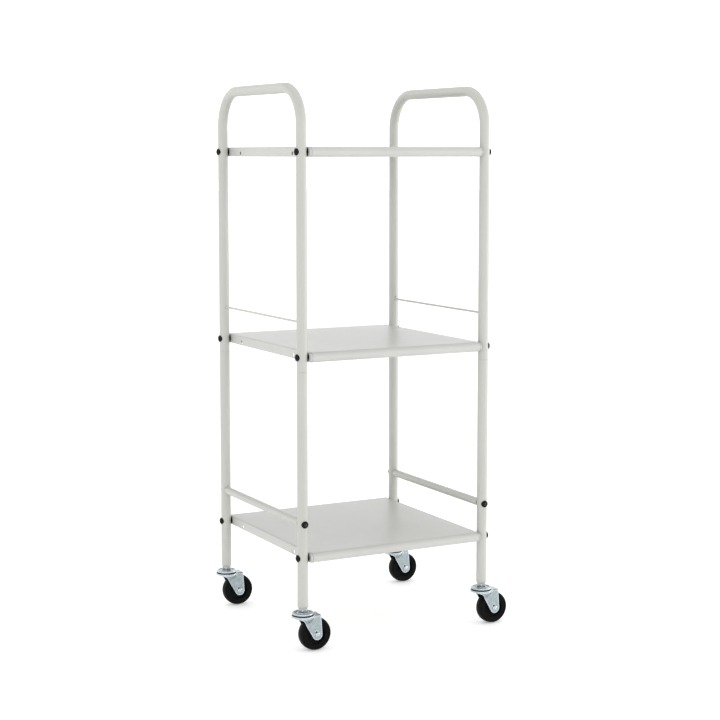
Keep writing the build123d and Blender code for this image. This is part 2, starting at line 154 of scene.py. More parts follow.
# Wheel
TYRE_R = 25.0
TYRE_BORE_R = 16.02
HUB_R = 16.0
HUB_RIM_INNER_R = 14.0
HUB_RIM_Y = 7.8
HUB_WEB_Y = 5.0
HUB_BOSS_R = 7.5
HUB_BOSS_Y = 8.8
HUB_BORE_R = 4.56

# Cup, seal and stem nut
CUP_R = 16.2
CUP_BORE_R = 4.05
CUP_BOTTOM_Z = 57.0
CUP_RIM_Z = 59.6
CUP_GROOVE_Z = 58.6
CUP_BOSS_Z = 60.4
SEAL_R = 16.0
SEAL_BORE_R = 13.2
SEAL_BOTTOM_Z = 55.5
SEAL_TOP_Z = 56.9
NUT_FLATS = 13.0
NUT_BORE_R = 4.02
NUT_BOTTOM_Z = 60.42
NUT_TOP_Z = 65.98
NUT_CONE = 30.0
NUT_EDGE = 0.12

# Screws and washers, in millimetres
BOLT_R = 3.0
HEAD_R = 5.3
HEAD_HEIGHT = 2.3
HEAD_SEAT = 8.8  # from the tube's axis
SOCKET_FLATS = 4.0
SOCKET_DEPTH = 1.4
SOCKET_BEVEL = 0.14
SHELF_BOLT_TAIL = 7.2  # how far it goes on past the washer inside
CROSSBAR_BOLT_REACH = 25.0  # from the tube's axis
WASHER_BORE_R = 3.2
WASHER_TUBE_R = 8.02  # the hollow that the tube lies in
WASHER_FLAT = 8.78  # from the tube's axis
OUTSIDE_WASHER_R = 5.2
INSIDE_WASHER_R = 5.6


# ---- Procedural materials ----


def colour(rgb):
    """The opaque colour that a shader socket takes."""
    return (*rgb, 1.0)


class Finish:
    """A node material on the principled shader, with short calls for the nodes that the finishes share.

    Every pattern runs in the object's own coordinates, so scales count repeats per metre.
    """

    # Where the Mix node keeps its colour sockets
    MIX_FIRST = 6
    MIX_SECOND = 7
    MIX_RESULT = 2

    def __init__(self, name, **sockets):
        self.material = bpy.data.materials.new(name)
        self.material.use_nodes = True
        self.tree = self.material.node_tree
        self.shader = self.tree.nodes["Principled BSDF"]
        for socket, value in sockets.items():
            self.shader.inputs[socket.replace("_", " ")].default_value = value
        self.place = self.tree.nodes.new("ShaderNodeTexCoord").outputs["Object"]
        self.normal = None

    def link(self, source, target):
        self.tree.links.new(source, target)

    def stretched(self, scale):
        """The object's own coordinates, scaled differently along each axis."""
        node = self.tree.nodes.new("ShaderNodeMapping")
        node.inputs["Scale"].default_value = scale
        self.link(self.place, node.inputs["Vector"])
        return node.outputs["Vector"]

    def noise(self, scale, detail=2.0, roughness=0.5, place=None):
        """A cloudy pattern."""
        node = self.tree.nodes.new("ShaderNodeTexNoise")
        node.inputs["Scale"].default_value = scale
        node.inputs["Detail"].default_value = detail
        node.inputs["Roughness"].default_value = roughness
        self.link(place or self.place, node.inputs["Vector"])
        return node.outputs["Fac"]

    def cells(self, scale):
        """A pattern of cells, each of one tone."""
        node = self.tree.nodes.new("ShaderNodeTexVoronoi")
        node.inputs["Scale"].default_value = scale
        self.link(self.place, node.inputs["Vector"])
        return node.outputs["Color"]

    def remap(self, source, low, high, start=0.3, end=0.7):
        """source between start and end becomes low to high."""
        node = self.tree.nodes.new("ShaderNodeMapRange")
        node.inputs["From Min"].default_value = start
        node.inputs["From Max"].default_value = end
        node.inputs["To Min"].default_value = low
        node.inputs["To Max"].default_value = high
        self.link(source, node.inputs["Value"])
        return node.outputs["Result"]

    def blend(self, share, first, second):
        """A colour between first and second, which are colours or sockets."""
        node = self.tree.nodes.new("ShaderNodeMix")
        node.data_type = "RGBA"
        self.link(share, node.inputs["Factor"])
        for index, value in ((self.MIX_FIRST, first), (self.MIX_SECOND, second)):
            if isinstance(value, tuple):
                node.inputs[index].default_value = colour(value)
            else:
                self.link(value, node.inputs[index])
        return node.outputs[self.MIX_RESULT]

    def edges(self, radius, sharp=0.80, flat=0.985):
        """1 on edges sharper than radius and 0 on flat faces; sharp and flat are cosines of the turn."""
        rounded = self.tree.nodes.new("ShaderNodeBevel")
        rounded.samples = 4
        rounded.inputs["Radius"].default_value = radius
        face = self.tree.nodes.new("ShaderNodeNewGeometry")
        dot = self.tree.nodes.new("ShaderNodeVectorMath")
        dot.operation = "DOT_PRODUCT"
        self.link(rounded.outputs["Normal"], dot.inputs[0])
        self.link(face.outputs["Normal"], dot.inputs[1])
        return self.remap(dot.outputs["Value"], 1.0, 0.0, sharp, flat)

    def recesses(self, reach, closed=0.25, open_air=0.80):
        """1 in gaps narrower than reach and 0 in the open, by the share of sky that a point sees."""
        node = self.tree.nodes.new("ShaderNodeAmbientOcclusion")
        node.samples = 8
        node.inputs["Distance"].default_value = reach
        return self.remap(node.outputs["AO"], 1.0, 0.0, closed, open_air)

    def bump(self, height, distance):
        """Adds relief. distance is the height in metres of a full step of the pattern."""
        node = self.tree.nodes.new("ShaderNodeBump")
        node.inputs["Strength"].default_value = 1.0
        node.inputs["Distance"].default_value = distance
        self.link(height, node.inputs["Height"])
        if self.normal is not None:
            self.link(self.normal, node.inputs["Normal"])
        self.normal = node.outputs["Normal"]

    def tone(self, source):
        self.link(source, self.shader.inputs["Base Color"])

    def gloss(self, source):
        self.link(source, self.shader.inputs["Roughness"])

    def done(self):
        if self.normal is not None:
            self.link(self.normal, self.shader.inputs["Normal"])
        return self.material


def shade(rgb, factor):
    """rgb made lighter or darker."""
    return tuple(channel * factor for channel in rgb)


def powder_coat(name, rgb, peel):
    """Satin powder coat: orange peel of height peel, slow changes of tone, painted highlights on the edges
    and painted shade in seams, gaps and hollows.
    """
    finish = Finish(name, IOR=1.5, Coat_Weight=0.12, Coat_Roughness=0.25)
    cloud = finish.noise(7.0, detail=3.0)
    speck = finish.noise(1400.0, detail=1.0)
    body = finish.blend(finish.remap(cloud, 0.0, 1.0), shade(rgb, 0.975), shade(rgb, 1.02))
    body = finish.blend(finish.remap(speck, 0.0, 0.10, 0.62, 0.75), body, shade(rgb, 0.80))
    # Painted highlight: the paint is lightened on sharp edges.
    body = finish.blend(finish.remap(finish.edges(0.0006), 0.0, 0.35, 0.0, 1.0), body, shade(rgb, 1.16))
    # Painted shade: seams, gaps, contact lines and hole walls within 2.5 mm are darkened nearly to black.
    painted_shade = finish.recesses(0.0025, closed=0.10, open_air=0.72)
    finish.tone(finish.blend(painted_shade, body, shade(rgb, 0.10)))
    finish.gloss(finish.remap(finish.noise(60.0, detail=3.0), 0.38, 0.43))
    finish.bump(finish.noise(2600.0, detail=1.0), 0.000012)
    finish.bump(finish.noise(620.0, detail=2.0, roughness=0.4), peel)
    return finish.done()


def zinc_plate(name, rgb):
    """Bright zinc: faint crystals, rolling lines, dulled patches, painted bluish highlights on the edges and
    painted shade in the hollows.
    """
    finish = Finish(name, Metallic=1.0)
    crystals = finish.cells(420.0)
    lines = finish.noise(1.0, detail=3.0, place=finish.stretched((90.0, 90.0, 2600.0)))
    patches = finish.noise(130.0, detail=4.0, roughness=0.6)
    body = finish.blend(finish.remap(crystals, 0.0, 1.0, 0.2, 0.9), shade(rgb, 0.90), shade(rgb, 1.06))
    body = finish.blend(finish.remap(patches, 0.0, 0.6, 0.42, 0.70), body, shade(rgb, 0.72))
    # Painted highlight: the zinc's edges are lightened to a bright bluish white.
    rim = finish.remap(finish.edges(0.0026, sharp=0.90, flat=0.995), 0.0, 0.95, 0.05, 0.5)
    body = finish.blend(rim, body, ZINC_PAINTED_HIGHLIGHT)
    # Painted shade: hollows and the deep space between the cheeks are darkened nearly to black.
    finish.tone(finish.blend(finish.recesses(0.016), body, shade(rgb, 0.06)))
    finish.gloss(finish.remap(patches, 0.18, 0.36))
    finish.bump(lines, 0.000006)
    finish.bump(finish.noise(900.0, detail=2.0), 0.00001)
    return finish.done()


def bearing_steel(name, rgb):
    """Polished steel balls with a faint unevenness of tone and gloss."""
    finish = Finish(name, Metallic=1.0)
    tones = finish.remap(finish.noise(300.0), 0.0, 1.0)
    finish.tone(finish.blend(tones, shade(rgb, 0.92), shade(rgb, 1.06)))
    finish.gloss(finish.remap(finish.noise(800.0, detail=3.0), 0.08, 0.18))
    return finish.done()


def black_oxide(name, rgb):
    """Blackened steel screws: deep black, semi-gloss, worn to brown-grey on the rims, and lightened to
    brown-grey in the sockets and hollows as wear and a painted highlight.
    """
    finish = Finish(name, IOR=1.5, Specular_IOR_Level=0.08)
    patches = finish.noise(500.0, detail=3.0)
    body = finish.blend(finish.remap(patches, 0.0, 1.0), shade(rgb, 0.75), shade(rgb, 1.4))
    body = finish.blend(finish.remap(finish.edges(0.0003), 0.0, 0.6, 0.0, 1.0), body, WORN_STEEL_AND_HIGHLIGHT)
    # Partly wear, partly painted highlight: the sockets and other hollows within 3 mm are lightened to
    # brown-grey.
    sockets = finish.recesses(0.0030, closed=0.45, open_air=0.90)
    finish.tone(finish.blend(sockets, body, WORN_STEEL_AND_HIGHLIGHT))
    finish.gloss(finish.remap(patches, 0.30, 0.46))
    finish.bump(finish.noise(2400.0, detail=2.0), 0.000008)
    return finish.done()


def moulded_plastic(name, rgb, roughness, shine, grain=1800.0, depth=0.00001):
    """Moulded black plastic or rubber with a fine grain and painted highlights on the edges."""
    finish = Finish(name, IOR=1.48, Specular_IOR_Level=shine)
    patches = finish.noise(140.0, detail=4.0)
    body = finish.blend(finish.remap(patches, 0.0, 1.0), shade(rgb, 0.8), shade(rgb, 1.35))
    # Painted highlight: edges are lightened to three times the base colour.
    body = finish.blend(finish.remap(finish.edges(0.0004), 0.0, 0.5, 0.0, 1.0), body, shade(rgb, 3.0))
    finish.tone(body)
    finish.gloss(finish.remap(patches, *roughness))
    finish.bump(finish.noise(grain, detail=2.0), depth)
    return finish.done()


def pale_floor(name, rgb):
    """A white acrylic light table, lit faintly from below so that shadows stay pale."""
    finish = Finish(name, Roughness=0.7, Emission_Color=colour(rgb), Emission_Strength=FLOOR_GLOW)
    finish.tone(finish.blend(finish.remap(finish.noise(3.0, detail=3.0), 0.0, 1.0), shade(rgb, 0.99), rgb))
    finish.bump(finish.noise(700.0, detail=2.0), 0.00004)
    return finish.done()


FINISHES = {
    "frame_paint": powder_coat("powder_coat_frame", FRAME_PAINT, peel=0.00005),
    "shelf_paint": powder_coat("powder_coat_shelf", SHELF_PAINT, peel=0.000015),
    "zinc_plate": zinc_plate("bright_zinc", ZINC),
    "black_bolts": black_oxide("black_oxide", BOLT_BLACK),
    "black_nylon": moulded_plastic("black_nylon", NYLON_BLACK, roughness=(0.38, 0.5), shine=0.10),
    "hub_plastic": moulded_plastic("black_hub", HUB_BLACK, roughness=(0.3, 0.45), shine=0.04),
    "tyre_rubber": moulded_plastic(
        "black_tyre", TYRE_BLACK, roughness=(0.34, 0.48), shine=0.05, grain=1200.0, depth=0.00002
    ),
    "seal_rubber": moulded_plastic("black_seal", SEAL_BLACK, roughness=(0.5, 0.65), shine=0.15),
    "bearing_steel": bearing_steel("bearing_steel", BEARING_STEEL),
}


def dress(piece, slot):
    """Gives a piece the finish of its slot."""
    piece.data.materials.clear()
    piece.data.materials.append(FINISHES[slot])


def slot_of(node):
    """The record's material slot of a CAD node, which is its packed material's name."""
    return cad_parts[node].data.materials[0].name.split(".")[0]


for node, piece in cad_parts.items():
    dress(piece, slot_of(node))


# ---- Mesh building, in millimetres ----


def arc(centre, radius, start, end, steps):
    """Points round a circle, from start to end degrees."""
    turns = [math.radians(start + (end - start) * index / steps) for index in range(steps + 1)]
    return [(centre[0] + radius * math.cos(turn), centre[1] + radius * math.sin(turn)) for turn in turns]


def softened(corners, steps=4):
    """A closed outline of (x, y, radius) corners with each corner rounded to its radius."""
    outline = []
    for index, (x, y, radius) in enumerate(corners):
        corner = Vector((x, y))
        if radius == 0:
            outline.append(corner)
            continue
        before = Vector(corners[index - 1][:2]) - corner
        after = Vector(corners[(index + 1) % len(corners)][:2]) - corner
        opening = before.angle(after)
        reach = radius / math.tan(opening / 2)
        start = corner + before.normalized() * reach
        end = corner + after.normalized() * reach
        inwards = (before.normalized() + after.normalized()).normalized()
        middle = corner + inwards * radius / math.sin(opening / 2)
        first = (start - middle).normalized()
        last = (end - middle).normalized()
        for step in range(steps + 1):
            spoke = first.slerp(last, step / steps)
            outline.append(middle + spoke * radius)
    return outline


def smooth_step(value, low, high):
    """0 up to low and 1 from high on, with a smooth change between them."""
    share = min(max((value - low) / (high - low), 0.0), 1.0)
    return share * share * (3 - 2 * share)


def lattice(builder, rows, wrap_rows=False, wrap_columns=False):
    """Adds a net of four-sided faces over rows of points."""
    points = [[builder.verts.new(point) for point in row] for row in rows]
    row_steps = len(rows) if wrap_rows else len(rows) - 1
    column_steps = len(rows[0]) if wrap_columns else len(rows[0]) - 1
    for row in range(row_steps):
        this_row = points[row]
        next_row = points[(row + 1) % len(rows)]
        for column in range(column_steps):
            after = (column + 1) % len(rows[0])
            builder.faces.new((this_row[column], this_row[after], next_row[after], next_row[column]))
    return points


def full_turn(segments):
    """Evenly spaced directions round a circle, in radians."""
    return [2 * math.pi * index / segments for index in range(segments)]


def turned(radius, turn, height):
    """The point at a radius and height in direction turn about Z."""
    return Vector((radius * math.cos(turn), radius * math.sin(turn), height))


def steady(value):
    """A measure that is the same in every direction."""
    return lambda turn: value


def revolved(builder, outline, place, segments):
    """A ring-shaped solid: a closed outline of (radius, height) turned about Z."""
    turns = full_turn(segments)
    rows = [[place @ turned(radius, turn, height) for turn in turns] for radius, height in outline]
    lattice(builder, rows, wrap_rows=True, wrap_columns=True)


def hexagon_reach(turn, flats):
    """Distance from the middle of a hexagon to its outline in direction turn."""
    sector = math.radians(60)
    return flats / 2 / math.cos((turn % sector) - sector / 2)


def domed_rings(builder, rings, place, segments):
    """A solid closed at both poles: a ring is its radius and its height, both as functions of the turn."""
    turns = full_turn(segments)
    rows = [[place @ turned(reach(turn), turn, height(turn)) for turn in turns] for reach, height in rings]
    points = lattice(builder, rows, wrap_columns=True)
    for row, middle_height in ((points[0], rings[0][1](0)), (points[-1], rings[-1][1](0))):
        middle = builder.verts.new(place @ Vector((0, 0, middle_height)))
        for index in range(segments):
            builder.faces.new((row[index], row[(index + 1) % segments], middle))


def finished(name, builder, slot, body, *nodes, sharp=40):
    """Turns faces built in millimetres into a piece that stands for the CAD nodes. sharp is in degrees."""
    bmesh.ops.scale(builder, vec=(1 / METRE, 1 / METRE, 1 / METRE), verts=builder.verts)
    bmesh.ops.recalc_face_normals(builder, faces=builder.faces)
    mesh = bpy.data.meshes.new(name)
    builder.to_mesh(mesh)
    builder.free()
    mesh.shade_smooth()
    mesh.set_sharp_from_angle(angle=math.radians(sharp))
    piece = bpy.data.objects.new(name, mesh)
    bpy.context.scene.collection.objects.link(piece)
    dress(piece, slot)
    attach(piece, body)
    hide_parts(*nodes)


# ---- Casters ----


def millimetres(node):
    """Both corners of a CAD node's box, in millimetres."""
    low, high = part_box(node)
    return low * METRE, high * METRE


def leg_axis(end, side):
    """Where the axis of a leg, and of the kingpin under it, meets the floor."""
    low, high = millimetres(f"{end}_{side}_leg")
    return Vector(((low.x + high.x) / 2, (low.y + high.y) / 2, 0))


def axle_centre(end, side):
    """The middle of a wheel."""
    low, high = millimetres(f"{end}_{side}_wheel_tyre")
    return (low + high) / 2


def cheek_half_width(x, z):
    """How far the fork's skin lies from its middle plane: flat cheeks that flare to the round crown."""
    flare = smooth_step(z, FLARE_START, FLARE_END) ** FLARE_POWER
    radius = FORK_HALF_WIDTH + (SKIRT_R - FORK_HALF_WIDTH) * flare
    width = FORK_HALF_WIDTH
    if z > FLARE_START and abs(x) < radius:
        excess = math.sqrt(radius ** 2 - x ** 2) - FORK_HALF_WIDTH
        if excess > -FLARE_MARGIN:
            width += (excess + math.sqrt(excess ** 2 + FLARE_SOFTNESS ** 2)) / 2 - FLARE_SOFTNESS / 2
    if x < 0:
        width = min(width, math.sqrt(SKIRT_R ** 2 - x ** 2))
    return width


def leading_edge(rows):
    """Points (x, z) down the fork's front edge: under the crown, round the knee and straight to the foot."""
    slope = math.radians(FORK_LEADING_SLOPE)
    foot = Vector((AXLE_X - FORK_FOOT_R * math.sin(slope), AXLE_Z - FORK_FOOT_R * math.cos(slope)))
    knee = Vector((foot.x - (CROWN_LIP - foot.y) / math.tan(slope), CROWN_LIP))
    reach = KNEE_R * math.tan(slope / 2)
    bend_low = knee + (foot - knee).normalized() * reach
    bend_high = knee - Vector((reach, 0))
    hidden = Vector((bend_high.x - 0.6, CHEEK_FRONT_Z))  # inside the crown, where no join shows
    edge = [hidden, hidden + Vector((0.4, -1.0)), bend_high]
    for step in range(1, KNEE_STEPS):
        share = step / KNEE_STEPS
        edge.append(bend_high.lerp(knee, share).lerp(knee.lerp(bend_low, share), share))
    edge.append(bend_low)
    straight = rows - len(edge) + 1
    edge += [bend_low.lerp(foot, (step + 1) / straight) for step in range(straight)]
    return edge


def cheek_net(columns=30, rows=36):
    """Rows of (x, z) over one cheek, from under the crown down to the round foot."""
    leading = leading_edge(rows)
    count = len(leading)
    tail_top = Vector((FORK_TAIL_X, CHEEK_BACK_Z))
    tail_foot = Vector((AXLE_X + FORK_FOOT_R, AXLE_Z))
    trailing = [tail_top.lerp(tail_foot, index / (count - 1)) for index in range(count)]
    foot_start = 270 - FORK_LEADING_SLOPE
    bottom = [Vector(point) for point in arc((AXLE_X, AXLE_Z), FORK_FOOT_R, foot_start, 360, columns)]
    top = []
    for column in range(columns + 1):
        x = leading[0].x + (FORK_TAIL_X - leading[0].x) * column / columns
        drop = (CHEEK_FRONT_Z - CHEEK_BACK_Z) * smooth_step(x, CHEEK_STEP_X, ROOF_START_X)
        top.append(Vector((x, CHEEK_FRONT_Z - drop)))
    net = []
    for row in range(count):
        down = row / (count - 1)
        points = []
        for column in range(columns + 1):
            along = column / columns
            between_edges = leading[row].lerp(trailing[row], along)
            between_ends = top[column].lerp(bottom[column], down)
            corners = top[0].lerp(top[-1], along).lerp(bottom[0].lerp(bottom[-1], along), down)
            points.append(between_edges + between_ends - corners)
        net.append(points)
    return net


def join_rows(builder, first, second):
    """Adds a strip of faces between two rows of vertices."""
    for index in range(len(first) - 1):
        builder.faces.new((first[index], first[index + 1], second[index + 1], second[index]))


def fork_sheet():
    """Both cheeks and the roof behind the crown as one open skin, before it is given its thickness."""
    builder = bmesh.new()
    net = cheek_net()
    cheeks = {}
    for hand in (-1, 1):
        rows = [[Vector((p.x, hand * cheek_half_width(p.x, p.y), p.y)) for p in row] for row in net]
        cheeks[hand] = lattice(builder, rows)
    top_row = net[0]
    covered = [index for index, point in enumerate(top_row) if point.x >= ROOF_START_X]
    inner_y = FORK_HALF_WIDTH - FORK_BEND_R
    bend = arc((inner_y, CHEEK_BACK_Z - ROOF_SINK), FORK_BEND_R, 0, 90, 6)[1:]
    roof_z = bend[-1][1]
    flat = [(inner_y * (1 - step / ROOF_STEPS), roof_z) for step in range(1, ROOF_STEPS)]
    half = bend + flat
    strip = [(-y, z) for y, z in half] + [(0.0, roof_z)] + half[::-1]
    previous = [cheeks[-1][0][index] for index in covered]
    for y, z in strip:
        row = [builder.verts.new((top_row[index].x, y, z)) for index in covered]
        join_rows(builder, previous, row)
        previous = row
    join_rows(builder, previous, [cheeks[1][0][index] for index in covered])
    bmesh.ops.recalc_face_normals(builder, faces=builder.faces)
    return builder


def loose_object(name, builder):
    """A plain object made from the built faces, as they are."""
    mesh = bpy.data.meshes.new(name)
    builder.to_mesh(mesh)
    builder.free()
    made = bpy.data.objects.new(name, mesh)
    bpy.context.scene.collection.objects.link(made)
    return made


def slot_punch():
    """A round bar through both cheeks, for the slotted end of the axle hole beside the rivet head."""
    builder = bmesh.new()
    across = about_axle(Vector((AXLE_X + SLOT_X, 0, AXLE_Z + SLOT_Z)))
    reach = 4 * FORK_HALF_WIDTH
    bmesh.ops.create_cone(
        builder, cap_ends=True, segments=32, radius1=SLOT_R, radius2=SLOT_R, depth=reach, matrix=across
    )
    return loose_object("punch", builder)


def thickened(builder, thickness, edge):
    """Gives an open skin its thickness inwards, rounds its cut edges and punches the slot."""
    piece = loose_object("skin", builder)
    solid = piece.modifiers.new("thickness", "SOLIDIFY")
    solid.thickness = thickness
    solid.offset = -1
    solid.use_even_offset = True
    rounding = piece.modifiers.new("rounding", "BEVEL")
    rounding.width = edge
    rounding.segments = 3
    rounding.limit_method = "ANGLE"
    rounding.angle_limit = math.radians(55)
    rounding.use_clamp_overlap = True
    punch = slot_punch()
    hole = piece.modifiers.new("slot", "BOOLEAN")
    hole.object = punch
    hole.operation = "DIFFERENCE"
    seen = piece.evaluated_get(bpy.context.evaluated_depsgraph_get())
    result = bmesh.new()
    result.from_mesh(seen.to_mesh())
    seen.to_mesh_clear()
    for tool in (piece, punch):
        bpy.data.objects.remove(tool)
    return result


def crown(builder):
    """The round top of the fork, with a ball groove and a turned-down lip that fades out over the wheel."""
    groove_start = 270 - GROOVE_HALF_ANGLE
    groove_end = 270 + GROOVE_HALF_ANGLE
    lip_z = CROWN_LIP + LIP_ROUND
    outline = [(CROWN_BORE_R, CROWN_TOP)]
    outline += arc((GROOVE_RING_R, GROOVE_Z), GROOVE_R, groove_start, groove_end, 8)
    outline += arc((CROWN_R - CROWN_ROUND, CROWN_TOP - CROWN_ROUND), CROWN_ROUND, 90, 0, 6)
    lip_start = len(outline)
    outline += arc((CROWN_R - LIP_ROUND, lip_z), LIP_ROUND, 0, -90, 4)
    outline += arc((CROWN_R - LIP_SHEET + LIP_ROUND, lip_z), LIP_ROUND, -90, -180, 4)
    outline.append((CROWN_R - LIP_SHEET - 0.05, LIP_ROOT_Z))
    lip_end = len(outline)
    outline += [(CROWN_R - LIP_SHEET - LIP_ROUND, CROWN_UNDERSIDE), (CROWN_BORE_R, CROWN_UNDERSIDE)]
    rows = []
    for index, (radius, height) in enumerate(outline):
        row = []
        for turn in full_turn(128):
            from_back = abs(math.degrees(math.atan2(math.sin(turn), math.cos(turn))))
            z = height
            if lip_start <= index < lip_end and height < LIP_HIDDEN_Z:
                z = LIP_HIDDEN_Z + (height - LIP_HIDDEN_Z) * smooth_step(from_back, *LIP_FADE)
            row.append(turned(radius, turn, z))
        rows.append(row)
    lattice(builder, rows, wrap_rows=True, wrap_columns=True)


def merge(target, source):
    """Adds a copy of the source's faces to the target."""
    mesh = bpy.data.meshes.new("part")
    source.to_mesh(mesh)
    target.from_mesh(mesh)
    bpy.data.meshes.remove(mesh)


def about_axle(centre):
    """Turns something built about Z to lie about an axle, with +Z towards the front."""
    return Matrix.Translation(centre) @ Matrix.Rotation(math.radians(90), 4, "X")


def add_rivet(builder, centre):
    """A domed head in front with a dimple and an undercut rim, the shank, and a flatter formed tail."""
    seat = FORK_HALF_WIDTH + RIVET_PLAY
    dimple = [(0.5, seat + 1.32), (0.9, seat + 1.50), (1.25, seat + 1.62)]
    slopes = [math.radians(angle) for angle in range(26, 91, 6)]
    dome = [(RIVET_HEAD_R * math.sin(a), seat + 0.35 + RIVET_DOME * math.cos(a)) for a in slopes]
    undercut = [(RIVET_HEAD_R, seat + 0.30), (3.5, seat + 0.12)]
    shank = [(RIVET_R, seat), (RIVET_R, -seat)]
    tail_edge = [(3.7, -seat), (RIVET_HEAD_R, -seat - 0.25), (3.8, -seat - 0.7)]
    tail_dome = [(3.4, -seat - 1.15), (2.6, -seat - 1.38)]
    outline = dimple + dome + undercut + shank + tail_edge + tail_dome
    rings = [(steady(radius), steady(height)) for radius, height in outline]
    domed_rings(builder, rings, about_axle(centre), segments=64)


def add_tyre(builder, centre):
    """Crowned tread with a mould line, round shoulders and a raised ring on each sidewall."""
    mould_line = [(TYRE_R, 0.0), (TYRE_R, 0.12), (24.9, 0.25)]
    tread = [(24.86, 1.5), (24.72, 3.2), (24.45, 4.9), (24.2, 5.9)]
    shoulder = [(23.9, 6.7), (23.45, 7.4), (22.9, 7.95), (22.35, 8.28), (22.0, 8.36)]
    raised_ring = [(21.7, 8.40), (21.4, 8.38), (21.2, 8.16), (20.9, 8.12)]
    side_wall = [(19.5, 8.06), (17.6, 7.92), (16.7, 7.84), (16.3, 7.76)]
    bead = [(16.1, 7.5), (16.05, 7.1), (TYRE_BORE_R, 6.0)]
    half = mould_line + tread + shoulder + raised_ring + side_wall + bead
    outline = half + [(radius, -y) for radius, y in reversed(half[1:])]
    revolved(builder, outline, about_axle(centre), segments=160)


def add_hub(builder, centre):
    """Boss, dished web and rim, with moulded fillets between them."""
    half = [
        (HUB_BORE_R, HUB_BOSS_Y, 0.25),
        (HUB_BOSS_R, HUB_BOSS_Y, 0.5),
        (HUB_BOSS_R + 0.4, HUB_WEB_Y + 0.4, 0.8),
        (HUB_RIM_INNER_R - 0.4, HUB_WEB_Y, 0.8),
        (HUB_RIM_INNER_R, HUB_RIM_Y, 0.3),
        (HUB_R, HUB_RIM_Y, 0.3),
    ]
    other_half = [(radius, -y, rounding) for radius, y, rounding in reversed(half)]
    revolved(builder, softened(half + other_half), about_axle(centre), segments=128)


def add_cup(builder, centre):
    """The dished upper cup of the swivel, with its rolled rim, groove and middle boss."""
    corners = [
        (CUP_BORE_R, CUP_BOTTOM_Z, 0.0),
        (CUP_R, CUP_BOTTOM_Z, 0.7),
        (CUP_R, CUP_RIM_Z, 0.9),
        (CUP_R - 2.5, CUP_RIM_Z + 0.15, 0.9),
        (CUP_R - 3.9, CUP_GROOVE_Z, 0.7),
        (CUP_R - 6.6, CUP_GROOVE_Z, 0.7),
        (CUP_R - 7.8, CUP_BOSS_Z, 0.5),
        (CUP_BORE_R, CUP_BOSS_Z, 0.0),
    ]
    outline = [(radius, min(height, CUP_BOSS_Z)) for radius, height in softened(corners, steps=5)]
    revolved(builder, outline, Matrix.Translation(centre), segments=128)


def add_seal(builder, centre):
    """The ring in the swivel gap, rounder outside than inside."""
    corners = [
        (SEAL_BORE_R, SEAL_BOTTOM_Z, 0.1),
        (SEAL_R, SEAL_BOTTOM_Z, 0.3),
        (SEAL_R, SEAL_TOP_Z, 0.3),
        (SEAL_BORE_R, SEAL_TOP_Z, 0.1),
    ]
    revolved(builder, softened(corners), Matrix.Translation(centre), segments=96)


def add_stem_nut(builder, centre):
    """A hexagon nut with its corners turned off by a cone at both ends."""
    face_r = NUT_FLATS / 2 - 0.25
    slope = math.tan(math.radians(NUT_CONE))

    def outside(turn):
        return hexagon_reach(turn, NUT_FLATS)

    def cone_depth(turn):
        return (outside(turn) - face_r) * slope

    # Rings from the bore outwards: their radius, and their depth under the end face
    half = [
        (steady(NUT_BORE_R), steady(0.5)),
        (steady(NUT_BORE_R + 0.5), steady(0.0)),
        (steady(face_r), steady(0.0)),
        (lambda turn: outside(turn) - NUT_EDGE, cone_depth),
        (outside, lambda turn: cone_depth(turn) + NUT_EDGE),
    ]
    turns = full_turn(96)
    bottom = [[centre + turned(r(t), t, NUT_BOTTOM_Z + depth(t)) for t in turns] for r, depth in half]
    top = [[centre + turned(r(t), t, NUT_TOP_Z - depth(t)) for t in turns] for r, depth in half]
    lattice(builder, bottom + top[::-1], wrap_rows=True, wrap_columns=True)


def casters():
    """Forks, rivets, tyres, hubs and seals of the four corners, and the cups and nuts as two pieces."""
    fork_skin = thickened(fork_sheet(), FORK_SHEET, FORK_CUT_EDGE)
    cups = bmesh.new()
    nuts = bmesh.new()
    for side in ("left", "right"):
        for end in ("front", "rear"):
            corner = f"{end}_{side}"
            leg = leg_axis(end, side)
            axle = axle_centre(end, side)
            fork = bmesh.new()
            merge(fork, fork_skin)
            crown(fork)
            bmesh.ops.translate(fork, vec=leg, verts=fork.verts)
            swivel = f"{corner}_swivel"
            finished(f"{corner}_pressed_fork", fork, "zinc_plate", swivel, f"{corner}_fork", sharp=50)
            for name, add, centre, slot, body, node in (
                ("rivet_head", add_rivet, axle, "zinc_plate", "swivel", "axle_rivet"),
                ("tyre", add_tyre, axle, "tyre_rubber", "wheel", "wheel_tyre"),
                ("hub", add_hub, axle, "hub_plastic", "wheel", "wheel_hub"),
                ("seal", add_seal, leg, "seal_rubber", "swivel", "swivel_seal"),
            ):
                builder = bmesh.new()
                add(builder, centre)
                finished(f"{corner}_{name}", builder, slot, f"{corner}_{body}", f"{corner}_{node}")
            add_cup(cups, leg)
            add_stem_nut(nuts, leg)
    fork_skin.free()
    finished("swivel_cups", cups, "zinc_plate", "frame", "caster_top_cups")
    finished("foot_nuts", nuts, "zinc_plate", "frame", "caster_stem_nuts", sharp=25)


casters()


# ---- Screws and washers ----


def facing(direction):
    """Turns something built along +Z to point along direction."""
    return Vector(direction).to_track_quat("Z", "Y").to_matrix().to_4x4()


